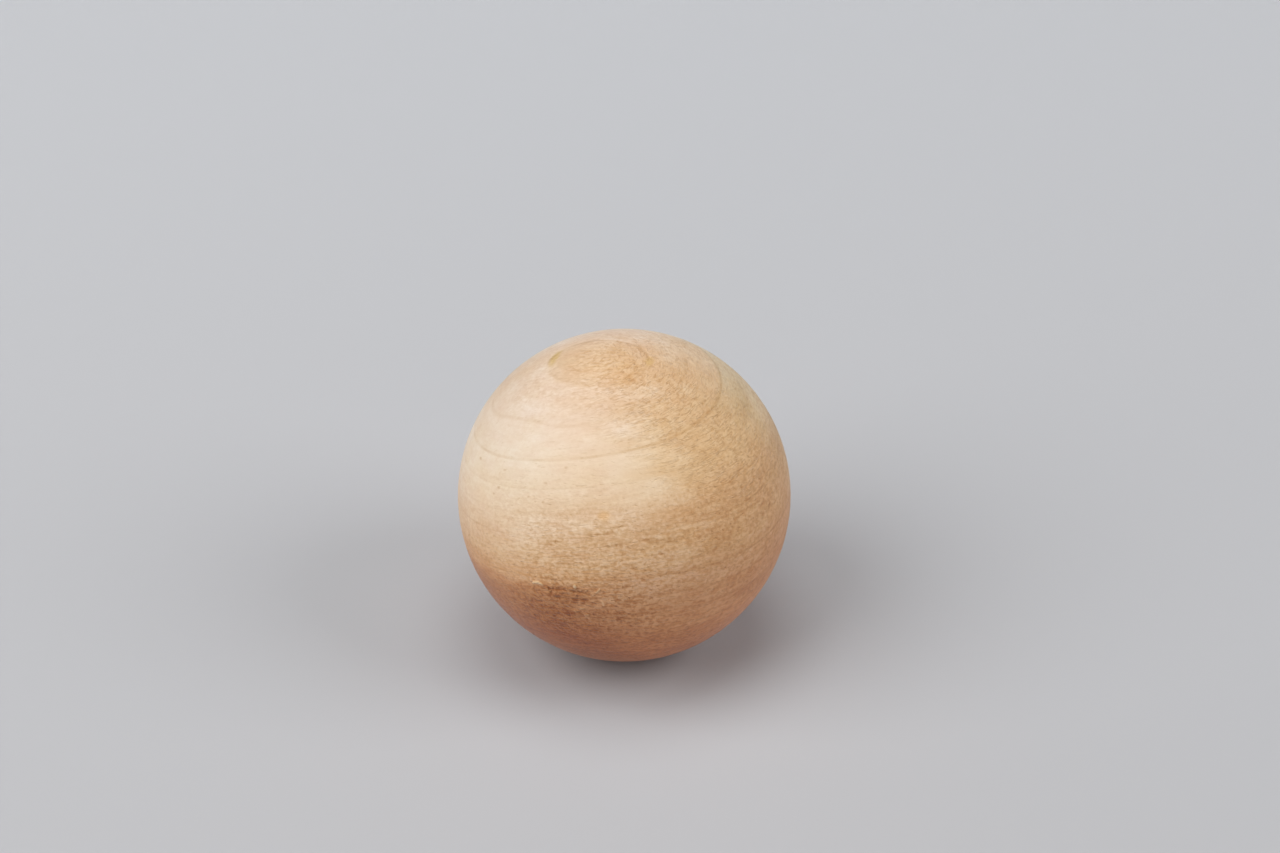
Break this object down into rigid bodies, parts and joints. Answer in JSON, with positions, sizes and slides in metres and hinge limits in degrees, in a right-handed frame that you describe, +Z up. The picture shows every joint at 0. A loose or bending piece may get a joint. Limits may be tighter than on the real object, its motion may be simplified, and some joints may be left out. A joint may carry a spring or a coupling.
{
  "type": "wooden ball",
  "caption": "Solid round ball turned from one piece of pale close-grained wood, sanded smooth and left unvarnished.",
  "frame": {"origin": "centre of the ball", "axes": "+Z up, +X to the right, roughly along the grain, +Y away from the viewer"},
  "size_m": [0.06, 0.06, 0.06],
  "materials": {
    "wood": "sanded, unvarnished"
  },
  "bodies": {
    "root": {"ball": "wood"}
  },
  "joints": []
}
